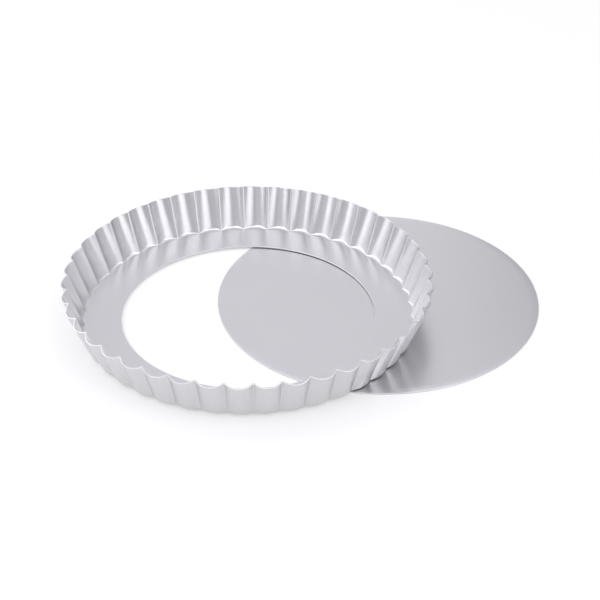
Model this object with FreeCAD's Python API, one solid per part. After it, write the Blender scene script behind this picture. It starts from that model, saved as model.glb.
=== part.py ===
import FreeCAD, Part
import math
import os

# Loose-bottomed fluted tart pan: a pressed aluminium ring with fluted sides and
# a narrow flat ledge, and the separate flat disc that makes its base. The disc
# lies on the work surface, pushed partly under the ring. Millimetres, +Z up.
# The origin is on the work surface, under the middle of the whole arrangement,
# and +X points from the ring's centre to the disc's centre.

# Ring: sheet, size and flutes
SHEET = 0.8                 # thickness of the pressed sheet
FLUTES = 42                 # lobes around the ring
CREST_RADIUS = 120.0        # largest radius, at the rim of a lobe
CREASE_RADIUS = 116.6       # radius of the outer skin at the rim of a crease
CREASE_HEIGHT = 29.0        # height of the rim at a crease, over the ring's underside
RIM_FALL = 0.5              # fall of the cut rim per mm of radius: lobes end lower than creases
CREASE_ARC = 0.8            # radius of the fold line between two lobes, on the outer skin
FIRST_CREASE = 2.97         # angle of the first crease from +X, degrees

# Ring: foot of the wall. The wall's outer line, carried down to the underside,
# meets it at the foot radius; the corner arc rounds that meeting.
CREASE_FOOT = 106.6
CREST_FOOT = 108.6
CREASE_CORNER = 1.5
CREST_CORNER = 3.4
LEDGE_HOLE_RADIUS = 82.4    # round opening inside the flat ledge
LEDGE_EDGE_ROUND = 0.2      # deburred edges of that opening

# Loose base
BASE_RADIUS = 105.8
BASE_THICK = 1.0
BASE_EDGE_ROUND = 0.3

# Arrangement
GAP = 0.4                   # air between the disc's top and the ring's underside
OFFSET = 87.5               # centre of the ring to centre of the disc

RING_X = -(OFFSET + BASE_RADIUS - CREST_RADIUS) / 2.0
RING_Z = BASE_THICK + GAP
BASE_X = RING_X + OFFSET

CREST_HEIGHT = CREASE_HEIGHT - (CREST_RADIUS - CREASE_RADIUS) * RIM_FALL
CREASE_LEAN = math.atan((CREASE_RADIUS - CREASE_FOOT) / CREASE_HEIGHT)
CREST_LEAN = math.atan((CREST_RADIUS - CREST_FOOT) / CREST_HEIGHT)
HALF_PITCH = math.pi / FLUTES
CORNER_STEPS = 6            # steps up the rounded corner
RIM_POINTS = 8              # steps along each arc of the sloping rim
SEW_TOLERANCE = 0.001       # widest gap closed between neighbouring faces


def wall_radius(foot, lean, corner, inset, z):
    """Radius of one wall line at height z; inset is the depth below the outer skin."""
    arc = corner - inset
    centre = foot - corner * math.tan((math.pi / 2.0 - lean) / 2.0)
    if z < corner - arc * math.sin(lean):
        rise = corner - z
        return centre + math.sqrt(max(arc * arc - rise * rise, 0.0))
    return foot + z * math.tan(lean) - inset / math.cos(lean)


def rim_radius(foot, lean, inset):
    """Radius where one wall line meets the sloping cut of the rim."""
    slope = math.tan(lean)
    reach = foot - inset / math.cos(lean) + slope * (CREASE_HEIGHT + RIM_FALL * CREASE_RADIUS)
    return reach / (1.0 + slope * RIM_FALL)


def rim_height(radius):
    return CREASE_HEIGHT - (radius - CREASE_RADIUS) * RIM_FALL


def flute_arcs(crest, crease, fold):
    """Fold arc and lobe arc that touch: centre distances, radii and the touching point."""
    fold_centre = crease + fold
    cos_half = math.cos(HALF_PITCH)
    lobe = crest ** 2 + fold_centre ** 2 - 2.0 * crest * fold_centre * cos_half - fold ** 2
    lobe = lobe / (2.0 * (crest + fold - fold_centre * cos_half))
    lobe_centre = crest - lobe
    share = fold / (fold + lobe)
    touch = (fold_centre + (lobe_centre * cos_half - fold_centre) * share,
             lobe_centre * math.sin(HALF_PITCH) * share)
    return fold_centre, lobe_centre, lobe, touch


def turned(x, y, angle, height):
    """Point (x, y) turned about +Z; height is a number or a function of the radius."""
    z = height(math.hypot(x, y)) if callable(height) else height
    cos_a = math.cos(angle)
    sin_a = math.sin(angle)
    return FreeCAD.Vector(x * cos_a - y * sin_a, x * sin_a + y * cos_a, z)


def arc_edge(centre, radius, start, end, angle, height):
    """Arc about (centre, 0) in the flute's own axes, flat or lifted onto the rim's slope."""
    sloping = callable(height)
    steps = RIM_POINTS if sloping else 2
    points = []
    for i in range(steps + 1):
        a = start + (end - start) * i / steps
        points.append(turned(centre + radius * math.cos(a), radius * math.sin(a), angle, height))
    if not sloping:
        return Part.Arc(*points).toShape()
    curve = Part.BSplineCurve()
    curve.interpolate(points)
    return curve.toShape()


def fluted_wire(crest, crease, fold, height):
    """Closed outline: wide lobe arcs that bulge outward, tangent to narrow fold arcs."""
    fold_centre, lobe_centre, lobe, touch = flute_arcs(crest, crease, fold)
    fold_half = math.pi - math.atan2(touch[1], touch[0] - fold_centre)
    along = touch[0] * math.cos(HALF_PITCH) + touch[1] * math.sin(HALF_PITCH)
    across = touch[0] * math.sin(HALF_PITCH) - touch[1] * math.cos(HALF_PITCH)
    lobe_half = math.atan2(across, along - lobe_centre)
    start = math.pi + fold_half
    end = math.pi - fold_half
    edges = []
    for i in range(FLUTES):
        angle = math.radians(FIRST_CREASE) + 2.0 * HALF_PITCH * i
        edges.append(arc_edge(fold_centre, fold, start, end, angle, height))
        edges.append(arc_edge(lobe_centre, lobe, -lobe_half, lobe_half, angle + HALF_PITCH, height))
    return Part.Wire(edges)


def skin_wires(inset):
    """Outlines of one skin: up through the rounded corner, then the rim. Inset 0 is the outer skin."""
    sweep = math.pi / 2.0 - CREST_LEAN
    arc = CREST_CORNER - inset
    wires = []
    for i in range(CORNER_STEPS + 1):
        z = CREST_CORNER - arc * math.cos(sweep * i / CORNER_STEPS)
        crest = wall_radius(CREST_FOOT, CREST_LEAN, CREST_CORNER, inset, z)
        crease = wall_radius(CREASE_FOOT, CREASE_LEAN, CREASE_CORNER, inset, z)
        wires.append(fluted_wire(crest, crease, CREASE_ARC + inset, z))
    crest = rim_radius(CREST_FOOT, CREST_LEAN, inset)
    crease = rim_radius(CREASE_FOOT, CREASE_LEAN, inset)
    wires.append(fluted_wire(crest, crease, CREASE_ARC + inset, rim_height))
    return wires


def ledge_lip():
    """Rounded edge of the ledge's opening, turned about +Z."""
    inner = LEDGE_HOLE_RADIUS
    r = LEDGE_EDGE_ROUND
    bend = r * (1.0 - math.sqrt(0.5))
    low = [FreeCAD.Vector(inner + r, 0, 0),
           FreeCAD.Vector(inner + bend, 0, bend),
           FreeCAD.Vector(inner, 0, r)]
    high = [FreeCAD.Vector(p.x, 0, SHEET - p.z) for p in reversed(low)]
    edges = [Part.Arc(*low).toShape(), Part.makeLine(low[2], high[0]), Part.Arc(*high).toShape()]
    return Part.Wire(edges).revolve(FreeCAD.Vector(0, 0, 0), FreeCAD.Vector(0, 0, 1), 360)


def fluted_ring():
    outer = skin_wires(0.0)
    inner = skin_wires(SHEET)
    faces = []
    for wires in (outer, inner):
        faces.extend(Part.makeLoft(wires[:-1], False, False).Faces)
        faces.extend(Part.makeLoft(wires[-2:], False, True).Faces)
    for edge_out, edge_in in zip(outer[-1].OrderedEdges, inner[-1].OrderedEdges):
        faces.append(Part.makeRuledSurface(edge_out, edge_in))
    for wire, z in ((outer[0], 0.0), (inner[0], SHEET)):
        opening = Part.makeCircle(LEDGE_HOLE_RADIUS + LEDGE_EDGE_ROUND, FreeCAD.Vector(0, 0, z))
        faces.append(Part.makeFace([wire, Part.Wire(opening)], "Part::FaceMakerBullseye"))
    faces.extend(ledge_lip().Faces)
    shell = Part.makeShell(faces)
    shell.sewShape(SEW_TOLERANCE)
    solid = Part.Solid(shell)
    if solid.Volume < 0:
        solid.reverse()
    solid.translate(FreeCAD.Vector(RING_X, 0, RING_Z))
    return solid


def loose_base():
    disc = Part.makeCylinder(BASE_RADIUS, BASE_THICK)
    rims = [edge for edge in disc.Edges if isinstance(edge.Curve, Part.Circle)]
    disc = disc.makeFillet(BASE_EDGE_ROUND, rims).Solids[0]
    disc.translate(FreeCAD.Vector(BASE_X, 0, 0))
    return disc


os.makedirs("parts", exist_ok=True)
for name, shape in (("fluted_ring", fluted_ring()), ("loose_base", loose_base())):
    shape.exportStep("parts/" + name + ".step")
    box = shape.optimalBoundingBox(False, False)
    print(name, shape.ShapeType, "valid", shape.isValid(), "solids", len(shape.Solids),
          "faces", len(shape.Faces), "volume", round(shape.Volume, 1),
          "x", round(box.XMin, 2), round(box.XMax, 2),
          "y", round(box.YMin, 2), round(box.YMax, 2),
          "z", round(box.ZMin, 2), round(box.ZMax, 2))
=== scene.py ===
import math
import random

import bpy
from mathutils import Matrix, Vector


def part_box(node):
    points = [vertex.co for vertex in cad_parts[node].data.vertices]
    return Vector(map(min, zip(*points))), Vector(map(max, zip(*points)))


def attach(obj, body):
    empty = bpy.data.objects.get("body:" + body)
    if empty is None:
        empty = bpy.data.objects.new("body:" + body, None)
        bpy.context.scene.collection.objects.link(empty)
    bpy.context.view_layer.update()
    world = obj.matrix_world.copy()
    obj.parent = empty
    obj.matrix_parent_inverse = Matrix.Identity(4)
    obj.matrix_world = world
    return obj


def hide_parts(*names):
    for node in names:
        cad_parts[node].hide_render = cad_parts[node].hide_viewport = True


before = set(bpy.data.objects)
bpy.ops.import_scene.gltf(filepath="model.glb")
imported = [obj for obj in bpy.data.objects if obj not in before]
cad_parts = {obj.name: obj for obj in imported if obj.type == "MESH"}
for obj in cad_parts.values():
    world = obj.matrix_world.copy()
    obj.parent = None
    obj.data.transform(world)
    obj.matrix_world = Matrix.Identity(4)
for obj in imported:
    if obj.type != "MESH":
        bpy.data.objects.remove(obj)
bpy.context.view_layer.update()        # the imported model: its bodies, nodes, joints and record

# A loose-bottomed tart pan of satin aluminium: a fluted ring that stands on its own
# flat base disc. Metres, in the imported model's frame, +X from the ring to the disc.
# The ring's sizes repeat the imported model's. The disc's radius and thickness are read
# from it.

MM = 0.001

# Ring. Heights are over its underside and radii are from its own centre. A crest is
# the middle of a lobe, and a crease is the fold between two lobes.
SHEET = 0.8 * MM                # thickness of the pressed sheet
FLUTES = 42
HALF_PITCH = math.pi / FLUTES
FIRST_CREASE = math.radians(2.97)
CREST_RADIUS = 120.0 * MM       # outer skin at the rim
CREASE_RADIUS = 116.6 * MM
CREASE_HEIGHT = 29.0 * MM       # height of the rim at a crease
RIM_FALL = 0.5                  # fall of the cut rim per unit of radius
CREST_HEIGHT = CREASE_HEIGHT - (CREST_RADIUS - CREASE_RADIUS) * RIM_FALL
CREASE_ARC = 0.8 * MM           # radius of the fold, on the outer skin
CREASE_FOOT = 106.6 * MM        # the wall's outer line, carried down to the underside
CREST_FOOT = 108.6 * MM
CREASE_CORNER = 1.5 * MM        # radius of the rounded corner at the foot
CREST_CORNER = 3.4 * MM
CREASE_LEAN = math.atan((CREASE_RADIUS - CREASE_FOOT) / CREASE_HEIGHT)
CREST_LEAN = math.atan((CREST_RADIUS - CREST_FOOT) / CREST_HEIGHT)
LEDGE_HOLE_RADIUS = 82.4 * MM
LEDGE_EDGE_ROUND = 0.2 * MM     # deburred edges of the ledge's opening
RIM_EDGE_ROUND = 0.12 * MM      # deburred edges of the cut rim

# Mesh steps of the ring
FOLD_STEPS = 8                  # columns across each crease
LOBE_STEPS = 18                 # columns across each lobe
LEDGE_STEPS = 6                 # steps across the ledge
CORNER_STEPS = 8                # steps up the rounded corner
WALL_STEPS = 10                 # steps up the wall
EDGE_SUPPORT = 0.02             # share of the ledge or wall between an edge and the row beside it

# Unevenness of the pressed wall, largest at the rim
UNEVEN_SEED = 7
LOBE_DEPTH_SPREAD = 0.25 * MM   # how much flatter than its even shape a lobe may be
CREASE_SHIFT = 0.22 * MM        # how far a crease may stand beside its even place
OVALNESS = 0.12 * MM            # how far the rim is drawn in at the narrow sides of its oval

# Base disc
DISC_CELLS = 48                 # cells across the square grid inside each round face
DISC_EDGE_ROUND = 0.3 * MM
EDGE_STEPS = 5                  # steps around each rounded edge


def underside_centre(low, high):
    """Middle of the lowest face of a box, from the box's two corners."""
    return Vector(((low[0] + high[0]) / 2.0, (low[1] + high[1]) / 2.0, low[2]))


def mesh_object(name, points, faces):
    mesh = bpy.data.meshes.new(name)
    mesh.from_pydata([tuple(p) for p in points], [], faces)
    mesh.validate()
    mesh.update()
    mesh.shade_smooth()
    made = bpy.data.objects.new(name, mesh)
    bpy.context.collection.objects.link(made)
    return made


def point_mask(mesh, name, values):
    """Gives every point of a mesh one number, which its material reads by name."""
    layer = mesh.attributes.new(name, "FLOAT", "POINT")
    layer.data.foreach_set("value", values)


# ---------------------------------------------------------------- ring

def flute_arcs(crest, crease, fold):
    """Lobe arc and fold arc that touch: centre distances, lobe radius and half angles."""
    fold_centre = crease + fold
    cos_half = math.cos(HALF_PITCH)
    sin_half = math.sin(HALF_PITCH)
    lobe = crest ** 2 + fold_centre ** 2 - 2.0 * crest * fold_centre * cos_half - fold ** 2
    lobe = lobe / (2.0 * (crest + fold - fold_centre * cos_half))
    lobe_centre = crest - lobe
    share = fold / (fold + lobe)
    x = fold_centre + (lobe_centre * cos_half - fold_centre) * share
    y = lobe_centre * sin_half * share
    fold_half = math.pi - math.atan2(y, x - fold_centre)
    lobe_half = math.atan2(x * sin_half - y * cos_half, x * cos_half + y * sin_half - lobe_centre)
    return fold_centre, fold_half, lobe_centre, lobe, lobe_half


def wall_radius(foot, lean, corner, inset, z):
    """Radius of one wall line at height z; inset is the depth below the outer skin."""
    arc = corner - inset
    centre = foot - corner * math.tan((math.pi / 2.0 - lean) / 2.0)
    if z < corner - arc * math.sin(lean):
        rise = corner - z
        return centre + math.sqrt(max(arc * arc - rise * rise, 0.0))
    return foot + z * math.tan(lean) - inset / math.cos(lean)


def rim_radius(foot, lean, inset):
    """Radius where one wall line meets the sloping cut of the rim."""
    slope = math.tan(lean)
    reach = foot - inset / math.cos(lean) + slope * (CREASE_HEIGHT + RIM_FALL * CREASE_RADIUS)
    return reach / (1.0 + slope * RIM_FALL)


def rim_height(radius):
    return CREASE_HEIGHT - (radius - CREASE_RADIUS) * RIM_FALL


def fluted_row(crest, crease, fold, height):
    """Points around one fluted outline; height is a number or a function of the radius."""
    fold_centre, fold_half, lobe_centre, lobe, lobe_half = flute_arcs(crest, crease, fold)
    row = []
    for flute in range(FLUTES):
        angle = FIRST_CREASE + 2.0 * HALF_PITCH * flute
        across_fold = [math.pi + fold_half * (1.0 - 2.0 * i / FOLD_STEPS) for i in range(FOLD_STEPS)]
        across_lobe = [lobe_half * (2.0 * i / LOBE_STEPS - 1.0) for i in range(LOBE_STEPS)]
        flat = [(fold_centre + fold * math.cos(a), fold * math.sin(a), angle) for a in across_fold]
        flat += [(lobe_centre + lobe * math.cos(a), lobe * math.sin(a), angle + HALF_PITCH)
                 for a in across_lobe]
        for x, y, turn in flat:
            z = height(math.hypot(x, y)) if callable(height) else height
            row.append(Matrix.Rotation(turn, 3, "Z") @ Vector((x, y, z)))
    return row


def round_row(radius, z, like):
    """Points around a circle, at the polar angles of another row's points."""
    return [Vector((p.x, p.y, 0.0)).normalized() * radius + Vector((0.0, 0.0, z)) for p in like]


def between(row_a, row_b, share):
    return [a.lerp(b, share) for a, b in zip(row_a, row_b)]


def skin_rows(inset):
    """Rows of one skin from the flat ledge to just under the rim, and the rim's own row.

    inset is the depth below the outer skin."""
    sweep = math.pi / 2.0 - CREST_LEAN
    arc = CREST_CORNER - inset
    rows = []
    for i in range(CORNER_STEPS + 1):
        z = CREST_CORNER - arc * math.cos(sweep * i / CORNER_STEPS)
        crest = wall_radius(CREST_FOOT, CREST_LEAN, CREST_CORNER, inset, z)
        crease = wall_radius(CREASE_FOOT, CREASE_LEAN, CREASE_CORNER, inset, z)
        rows.append(fluted_row(crest, crease, CREASE_ARC + inset, z))
    crest = rim_radius(CREST_FOOT, CREST_LEAN, inset)
    crease = rim_radius(CREASE_FOOT, CREASE_LEAN, inset)
    rim = fluted_row(crest, crease, CREASE_ARC + inset, rim_height)
    foot = rows[-1]
    rows += [between(foot, rim, i / WALL_STEPS) for i in range(1, WALL_STEPS)]
    rows.append(between(foot, rim, 1.0 - EDGE_SUPPORT))
    return rows, rim


def rounded_edge(corner, toward_first, toward_last, radius):
    """Three rows that round an edge: one on each face beside it and one on the bend."""
    bend = radius * (1.0 - math.sqrt(0.5))
    first, middle, last = [], [], []
    for point, a, b in zip(corner, toward_first, toward_last):
        along_a = (a - point).normalized()
        along_b = (b - point).normalized()
        first.append(point + along_a * radius)
        middle.append(point + (along_a + along_b) * bend)
        last.append(point + along_b * radius)
    return [first, middle, last]


def uneven(rows):
    """Shifts creases, flattens lobes and draws the ring slightly oval: never outward, and
    most at the rim."""
    draw = random.Random(UNEVEN_SEED)
    shift = [draw.uniform(-1.0, 1.0) * CREASE_SHIFT for _ in range(FLUTES)]
    flatter = [draw.uniform(0.0, 1.0) * LOBE_DEPTH_SPREAD for _ in range(FLUTES)]
    phase = draw.uniform(0.0, math.pi)
    for row in rows:
        for point in row:
            lift = min(max(point.z / CREASE_HEIGHT, 0.0), 1.0)
            angle = math.atan2(point.y, point.x)
            place = ((angle - FIRST_CREASE) / (2.0 * HALF_PITCH)) % FLUTES
            flute = int(place)
            part = place - flute
            ease = part * part * (3.0 - 2.0 * part)
            side = shift[flute] * (1.0 - ease) + shift[(flute + 1) % FLUTES] * ease
            inward = flatter[flute] * math.sin(math.pi * part) ** 2
            inward += OVALNESS * (1.0 + math.cos(2.0 * angle + phase)) / 2.0
            radius = math.hypot(point.x, point.y)
            scale = 1.0 - inward * lift * lift / radius
            turn = Matrix.Rotation(side * lift / radius, 3, "Z")
            moved = turn @ Vector((point.x * scale, point.y * scale, point.z))
            point.x, point.y = moved.x, moved.y


def ring_rows():
    """Rows of the closed section and the kind of each: from the ledge's opening up the inner
    skin, over the rim, and back down the outer skin."""
    inner, inner_rim = skin_rows(SHEET)
    outer, outer_rim = skin_rows(0.0)
    top_lip = round_row(LEDGE_HOLE_RADIUS, SHEET, inner[0])
    low_lip = round_row(LEDGE_HOLE_RADIUS, 0.0, outer[0])
    top_edge = rounded_edge(top_lip, low_lip, inner[0], LEDGE_EDGE_ROUND)
    low_edge = rounded_edge(low_lip, outer[0], top_lip, LEDGE_EDGE_ROUND)
    rim_in = rounded_edge(inner_rim, inner[-1], outer_rim, RIM_EDGE_ROUND)
    rim_out = rounded_edge(outer_rim, inner_rim, outer[-1], RIM_EDGE_ROUND)
    shares = [EDGE_SUPPORT] + [i / LEDGE_STEPS for i in range(1, LEDGE_STEPS)] + [1.0 - EDGE_SUPPORT]
    ledge = [between(top_edge[-1], inner[0], share) for share in shares]
    under = [between(low_edge[0], outer[0], share) for share in reversed(shares)]
    groups = [("edge", top_edge), ("ledge", ledge), ("wall", inner), ("edge", rim_in + rim_out),
              ("wall", outer[::-1]), ("ledge", under), ("edge", low_edge)]
    rows = [row for _, group in groups for row in group]
    kinds = [kind for kind, group in groups for _ in group]
    uneven(rows)
    return rows, kinds


def build_ring():
    centre = underside_centre(*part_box("fluted_ring"))
    rows, kinds = ring_rows()
    columns = len(rows[0])
    points = [p + centre for row in rows for p in row]
    faces = []
    for r in range(len(rows)):
        below = r * columns
        above = ((r + 1) % len(rows)) * columns
        for c in range(columns):
            after = (c + 1) % columns
            faces.append((below + c, above + c, above + after, below + after))
    ring = mesh_object("pan_ring", points, faces)
    per_flute = FOLD_STEPS + LOBE_STEPS
    in_fold = [1.0 if c % per_flute <= FOLD_STEPS else 0.0 for c in range(columns)]
    point_mask(ring.data, "cut_edge", [float(kind == "edge") for kind in kinds for _ in range(columns)])
    point_mask(ring.data, "wall", [float(kind == "wall") for kind in kinds for _ in range(columns)])
    # Mask of the creases, which the material paints a little lighter as a painted highlight
    point_mask(ring.data, "crease", [f * float(kind == "wall") for kind in kinds for f in in_fold])
    unwrap_ring(ring.data, rows, columns)
    return ring


def unwrap_ring(mesh, rows, columns):
    """Lays the sheet flat. U runs around the ring and V along its section, both in metres, and
    U is measured at the rim's creases."""
    along = [0.0]
    for r in range(len(rows)):
        step = rows[(r + 1) % len(rows)][0] - rows[r][0]
        along.append(along[-1] + step.length)
    around = 2.0 * math.pi * CREASE_RADIUS / columns
    layer = mesh.uv_layers.new(name="sheet")
    for face in mesh.polygons:
        r, c = divmod(face.index, columns)
        corners = ((c, r), (c, r + 1), (c + 1, r + 1), (c + 1, r))
        for loop, (u, v) in zip(face.loop_indices, corners):
            layer.data[loop].uv = (u * around, along[v])


# ---------------------------------------------------------------- base disc

def disc_face(radius, z):
    """Square grid of points eased into a circle whose edge points are evenly spaced."""
    points = {}
    half = DISC_CELLS / 2.0
    for i in range(DISC_CELLS + 1):
        for j in range(DISC_CELLS + 1):
            x = i / half - 1.0
            y = j / half - 1.0
            reach = max(abs(x), abs(y))
            if reach == 0.0:
                points[i, j] = Vector((0.0, 0.0, z))
                continue
            if abs(x) >= abs(y):
                turn = (0.0 if x > 0.0 else math.pi) + math.pi / 4.0 * y / x
            else:
                turn = math.copysign(math.pi / 2.0, y) - math.pi / 4.0 * x / y
            round_place = Vector((math.cos(turn), math.sin(turn))) * reach
            square_place = Vector((x, y)) * math.sqrt(0.5)
            place = square_place.lerp(round_place, reach) * radius
            points[i, j] = Vector((place.x, place.y, z))
    return points


def grid_border():
    """The grid's outside points in order, counter-clockwise from the first corner."""
    n = DISC_CELLS
    return ([(i, 0) for i in range(n)] + [(n, j) for j in range(n)]
            + [(n - i, n) for i in range(n)] + [(0, n - j) for j in range(n)])


def disc_edge(thick):
    """The rounded edge from the top face down: how far out each row is, in 0..1, and its height."""
    profile = []
    for i in range(1, EDGE_STEPS + 1):
        a = math.pi / 2.0 * (1.0 - i / EDGE_STEPS)
        profile.append((math.cos(a), thick - DISC_EDGE_ROUND + DISC_EDGE_ROUND * math.sin(a)))
    for i in range(EDGE_STEPS):
        a = -math.pi / 2.0 * i / EDGE_STEPS
        profile.append((math.cos(a), DISC_EDGE_ROUND + DISC_EDGE_ROUND * math.sin(a)))
    return profile


def build_disc():
    low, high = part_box("loose_base")
    centre = underside_centre(low, high)
    radius = (high[0] - low[0]) / 2.0
    thick = high[2] - low[2]
    flat = radius - DISC_EDGE_ROUND
    top = disc_face(flat, thick)
    bottom = disc_face(flat, 0.0)
    points = []
    faces = []
    place = {}
    for side, grid in (("top", top), ("bottom", bottom)):
        for key, point in grid.items():
            place[side, key] = len(points)
            points.append(point + centre)
    for i in range(DISC_CELLS):
        for j in range(DISC_CELLS):
            square = [(i, j), (i + 1, j), (i + 1, j + 1), (i, j + 1)]
            faces.append([place["top", key] for key in square])
            faces.append([place["bottom", key] for key in reversed(square)])
    face_points = len(points)
    border = grid_border()
    rows = [[place["top", key] for key in border]]
    for out, z in disc_edge(thick):
        row = []
        for key in border:
            direction = Vector((top[key].x, top[key].y, 0.0)).normalized()
            row.append(len(points))
            points.append(centre + direction * (flat + DISC_EDGE_ROUND * out) + Vector((0.0, 0.0, z)))
        rows.append(row)
    rows.append([place["bottom", key] for key in border])
    for above, below in zip(rows, rows[1:]):
        for c in range(len(border)):
            after = (c + 1) % len(border)
            faces.append((above[c], below[c], below[after], above[after]))
    disc = mesh_object("base_disc", points, faces)
    point_mask(disc.data, "cut_edge", [float(i >= face_points) for i in range(len(points))])
    return disc


# ---------------------------------------------------------------- materials

# Satin aluminium and its patterns. Scales are per metre, and a stretch multiplies the
# scale along each axis: a large one makes a pattern fine, a small one makes it long.
ALUMINIUM = (0.664, 0.661, 0.671)
SATIN_ROUGHNESS = 0.3                   # much less, and the denoiser draws patterns as scratches
ROLLING_ANGLE = math.radians(-13.0)     # direction in which the sheet was rolled, from +X
GRAIN_SCALE = 1800.0
LINES_SCALE = 60.0
LINES_STRETCH = (0.12, 14.0, 1.0)       # long in the rolling direction
MARKS_SCALE = 16.0
PRESSED_SCALE = 90.0
STREAKS_STRETCH = (12.0, 0.4, 1.0)      # long up the wall
HOOPS_STRETCH = (0.5, 9.0, 1.0)         # long around the wall
HOOPS_SHARE = 0.8                       # strength of the hoops beside the streaks

# Height of each pattern, in parts of the relief; the relief is in metres
RELIEF = 8.0e-6
GRAIN_HEIGHT = 0.5
RING_LINES_HEIGHT = 1.0
DISC_LINES_HEIGHT = 2.0
PRESSED_HEIGHT = 5.0

# What each pattern adds to the roughness and to the brightness of the colour, per 1 of its value
LINES_ROUGHNESS = 0.02
MARKS_ROUGHNESS = 0.015
EDGE_ROUGHNESS = 0.05
WALL_ROUGHNESS = -0.015         # drawing over the die leaves the wall a little smoother
LINES_TONE = 0.022
MARKS_TONE = 0.012
EDGE_TONE = -0.03
# Painted highlight: the creases are painted a little lighter
CREASE_PAINTED_HIGHLIGHT = 0.02
PRESSED_TONE = 0.05

# Floor paper
PAPER_TONE = 0.5
PAPER_ROUGHNESS = 0.9
TOOTH_SCALE = 700.0             # per metre
TOOTH_TONE = 0.004
TOOTH_RELIEF = 1.0e-5
LIGHT_TABLE_GLOW = 0.38         # the pale floor is lit a little from below, as a light table is


class Nodes:
    """Short way to add nodes to one material and join them up."""

    def __init__(self, material):
        material.use_nodes = True
        self.tree = material.node_tree
        self.tree.nodes.clear()

    def add(self, kind, inputs=None, **settings):
        node = self.tree.nodes.new(kind)
        for key, value in settings.items():
            setattr(node, key, value)
        for key, value in (inputs or {}).items():
            if isinstance(value, bpy.types.NodeSocket):
                self.tree.links.new(value, node.inputs[key])
            else:
                node.inputs[key].default_value = value
        return node

    def math(self, operation, a, b):
        return self.add("ShaderNodeMath", {0: a, 1: b}, operation=operation).outputs[0]

    def noise(self, vector, scale, detail=3.0, roughness=0.5, stretch=(1.0, 1.0, 1.0), turn=0.0):
        """Noise in -1..1. The vector is turned about +Z first and then stretched."""
        turned = self.add("ShaderNodeMapping", {"Vector": vector, "Rotation": (0.0, 0.0, turn)})
        sized = self.add("ShaderNodeMapping", {"Vector": turned.outputs[0], "Scale": stretch})
        noise = self.add("ShaderNodeTexNoise", {"Vector": sized.outputs[0], "Scale": scale,
                                                "Detail": detail, "Roughness": roughness})
        return self.total(-1.0, (noise.outputs[0], 2.0))

    def total(self, base, *parts):
        """base + value * share for every part, which is a value and its share."""
        for value, share in parts:
            node = self.add("ShaderNodeMath", {0: value, 1: share, 2: base}, operation="MULTIPLY_ADD")
            base = node.outputs[0]
        return base


def satin_aluminium(name, lines_height, pressed_height):
    """Satin aluminium sheet: fine grain, rolling lines, faint handling marks and rougher cut edges.

    With a pressed height above 0, the wall has no rolling lines left. Pressing has drawn
    streaks up it, and fainter hoops around it. The creases get a painted highlight: they are
    painted a little lighter."""
    material = bpy.data.materials.new(name)
    n = Nodes(material)
    place = n.add("ShaderNodeTexCoord").outputs["Object"]
    grain = n.noise(place, GRAIN_SCALE, detail=2.0)
    lines = n.noise(place, LINES_SCALE, detail=5.0, roughness=0.65, stretch=LINES_STRETCH,
                    turn=-ROLLING_ANGLE)
    marks = n.noise(place, MARKS_SCALE, detail=4.0, roughness=0.55)
    edge = n.add("ShaderNodeAttribute", attribute_name="cut_edge").outputs["Fac"]
    if pressed_height:
        wall = n.add("ShaderNodeAttribute", attribute_name="wall").outputs["Fac"]
        lines = n.math("MULTIPLY", lines, n.math("SUBTRACT", 1.0, wall))
    height = n.total(n.math("MULTIPLY", grain, GRAIN_HEIGHT), (lines, lines_height))
    rough = n.total(SATIN_ROUGHNESS, (edge, EDGE_ROUGHNESS), (marks, MARKS_ROUGHNESS),
                    (lines, LINES_ROUGHNESS))
    tone = n.total(1.0, (edge, EDGE_TONE), (marks, MARKS_TONE), (lines, LINES_TONE))
    if pressed_height:
        sheet = n.add("ShaderNodeUVMap", uv_map="sheet").outputs[0]
        crease = n.add("ShaderNodeAttribute", attribute_name="crease").outputs["Fac"]
        streaks = n.noise(sheet, PRESSED_SCALE, detail=4.0, roughness=0.6, stretch=STREAKS_STRETCH)
        hoops = n.noise(sheet, PRESSED_SCALE, detail=3.0, roughness=0.6, stretch=HOOPS_STRETCH)
        pressed = n.math("MULTIPLY", n.total(streaks, (hoops, HOOPS_SHARE)), wall)
        height = n.total(height, (pressed, pressed_height))
        # The creases are painted a little lighter: a painted highlight along the folds
        tone = n.total(tone, (crease, CREASE_PAINTED_HIGHLIGHT), (pressed, PRESSED_TONE))
        rough = n.total(rough, (wall, WALL_ROUGHNESS))
    bump = n.add("ShaderNodeBump", {"Height": height, "Strength": 1.0, "Distance": RELIEF})
    paint = n.add("ShaderNodeVectorMath", {0: ALUMINIUM, "Scale": tone}, operation="SCALE")
    shader = n.add("ShaderNodeBsdfPrincipled", {"Base Color": paint.outputs[0], "Metallic": 1.0,
                                                "Roughness": rough, "Normal": bump.outputs[0]})
    n.add("ShaderNodeOutputMaterial", {"Surface": shader.outputs[0]})
    return material


def floor_paper():
    material = bpy.data.materials.new("floor_paper")
    n = Nodes(material)
    place = n.add("ShaderNodeTexCoord").outputs["Object"]
    tooth = n.noise(place, TOOTH_SCALE)
    shade = n.total(PAPER_TONE, (tooth, TOOTH_TONE))
    paint = n.add("ShaderNodeCombineColor", {0: shade, 1: shade, 2: shade})
    bump = n.add("ShaderNodeBump", {"Height": tooth, "Strength": 1.0, "Distance": TOOTH_RELIEF})
    shader = n.add("ShaderNodeBsdfPrincipled", {"Base Color": paint.outputs[0],
                                                "Roughness": PAPER_ROUGHNESS,
                                                "Normal": bump.outputs[0],
                                                "Emission Color": (1.0, 1.0, 1.0, 1.0),
                                                "Emission Strength": LIGHT_TABLE_GLOW})
    n.add("ShaderNodeOutputMaterial", {"Surface": shader.outputs[0]})
    return material


# ---------------------------------------------------------------- studio

STUDIO_WHITE = (0.985, 0.98, 1.03)      # slightly cool light
WORLD_STRENGTH = 0.56
FLOOR_RADIUS = 12.0
FLOOR_SIDES = 96

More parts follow.
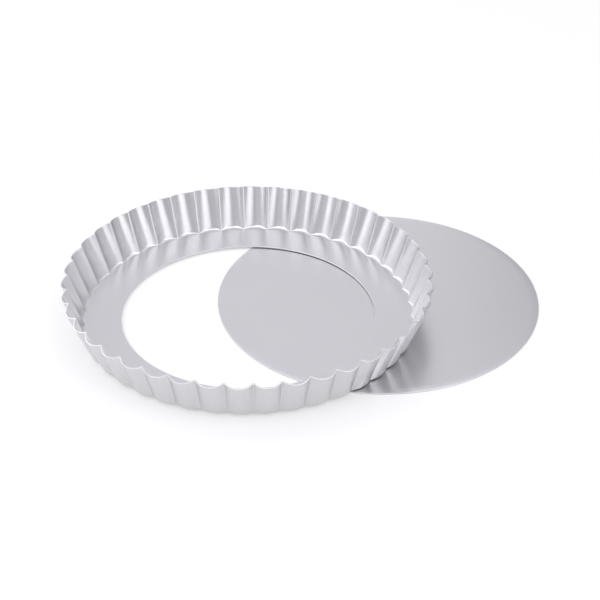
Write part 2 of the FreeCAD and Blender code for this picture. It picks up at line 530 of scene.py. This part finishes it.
# Camera, at the photo's viewing angle. It aims at a point on the floor.
CAMERA_AZIMUTH = math.radians(-12.99)   # from -Y, positive towards +X
CAMERA_ELEVATION = math.radians(33.57)
CAMERA_DISTANCE = 1.1497
CAMERA_AIM = Vector((0.44, 10.67, 0.0)) * MM
CAMERA_LENS = 104.27                    # Blender's lens and sensor sizes are in millimetres
CAMERA_SENSOR = 36.0
CAMERA_NEAR = 0.05
CAMERA_FAR = 60.0


def build_floor():
    points = [(0.0, 0.0, 0.0)]
    for i in range(FLOOR_SIDES):
        a = 2.0 * math.pi * i / FLOOR_SIDES
        points.append((FLOOR_RADIUS * math.cos(a), FLOOR_RADIUS * math.sin(a), 0.0))
    faces = [(0, i, i % FLOOR_SIDES + 1) for i in range(1, FLOOR_SIDES + 1)]
    floor = mesh_object("studio_floor", points, faces)
    floor.data.materials.append(floor_paper())


def direction(azimuth, elevation):
    """Unit vector at an angle from +X about +Z and an angle above the floor, in degrees."""
    a = math.radians(azimuth)
    e = math.radians(elevation)
    return Vector((math.cos(a) * math.cos(e), math.sin(a) * math.cos(e), math.sin(e)))


def softbox(name, azimuth, elevation, distance, width, height, radiance):
    """Rectangular light that faces the origin. Its energy grows with its area, so that
    radiance is how bright it looks, whatever its size."""
    light = bpy.data.lights.new(name, "AREA")
    light.shape = "RECTANGLE"
    light.size = width
    light.size_y = height
    light.energy = radiance * width * height * math.pi
    light.color = STUDIO_WHITE
    lamp = bpy.data.objects.new(name, light)
    away = direction(azimuth, elevation)
    lamp.location = away * distance
    lamp.rotation_euler = away.to_track_quat("Z", "Y").to_euler()
    bpy.context.collection.objects.link(lamp)


def build_world():
    world = bpy.data.worlds.new("studio")
    world.use_nodes = True
    background = world.node_tree.nodes["Background"]
    background.inputs["Color"].default_value = (*STUDIO_WHITE, 1.0)
    background.inputs["Strength"].default_value = WORLD_STRENGTH
    bpy.context.scene.world = world


def build_camera():
    lens = bpy.data.cameras.new("camera")
    lens.lens = CAMERA_LENS
    lens.sensor_width = CAMERA_SENSOR
    lens.clip_start = CAMERA_NEAR
    lens.clip_end = CAMERA_FAR
    camera = bpy.data.objects.new("camera", lens)
    level = math.cos(CAMERA_ELEVATION)
    back = Vector((math.sin(CAMERA_AZIMUTH) * level, -math.cos(CAMERA_AZIMUTH) * level,
                   math.sin(CAMERA_ELEVATION)))
    camera.location = CAMERA_AIM + back * CAMERA_DISTANCE
    camera.rotation_euler = (-back).to_track_quat("-Z", "Y").to_euler()
    bpy.context.collection.objects.link(camera)
    bpy.context.scene.camera = camera


# ---------------------------------------------------------------- the scene

ring = build_ring()
ring.data.materials.append(satin_aluminium("ring_aluminium", RING_LINES_HEIGHT, PRESSED_HEIGHT))
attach(ring, "ring")
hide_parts("fluted_ring")

disc = build_disc()
disc.data.materials.append(satin_aluminium("base_aluminium", DISC_LINES_HEIGHT, 0.0))
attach(disc, "base")
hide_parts("loose_base")

build_floor()
build_world()
build_camera()

# Angles are in degrees, an azimuth from +X about +Z and an elevation above the floor,
# and the camera stands at an azimuth of about 257. Sizes and distances are in metres.
softbox("top_front", azimuth=262.0, elevation=69.0, distance=1.5, width=2.2, height=0.9, radiance=1.45)
softbox("top_back", azimuth=77.0, elevation=62.0, distance=1.5, width=2.2, height=0.8, radiance=0.9)
softbox("left_low", azimuth=180.0, elevation=13.0, distance=1.7, width=1.6, height=0.5, radiance=1.4)
softbox("left_high", azimuth=175.0, elevation=38.0, distance=1.7, width=1.8, height=0.8, radiance=1.1)
softbox("left_back", azimuth=135.0, elevation=22.0, distance=1.7, width=1.2, height=1.1, radiance=1.2)
softbox("front_low", azimuth=296.0, elevation=13.0, distance=1.5, width=1.3, height=0.5, radiance=1.25)
softbox("front_right", azimuth=320.0, elevation=38.0, distance=1.6, width=1.2, height=0.7, radiance=1.5)
softbox("front_left", azimuth=222.0, elevation=38.0, distance=1.6, width=1.2, height=0.8, radiance=1.4)
softbox("back_low", azimuth=85.0, elevation=14.0, distance=1.7, width=1.2, height=0.5, radiance=0.5)
softbox("back_middle", azimuth=80.0, elevation=30.0, distance=1.7, width=0.8, height=0.6, radiance=0.34)

bpy.context.scene.view_settings.view_transform = "Standard"
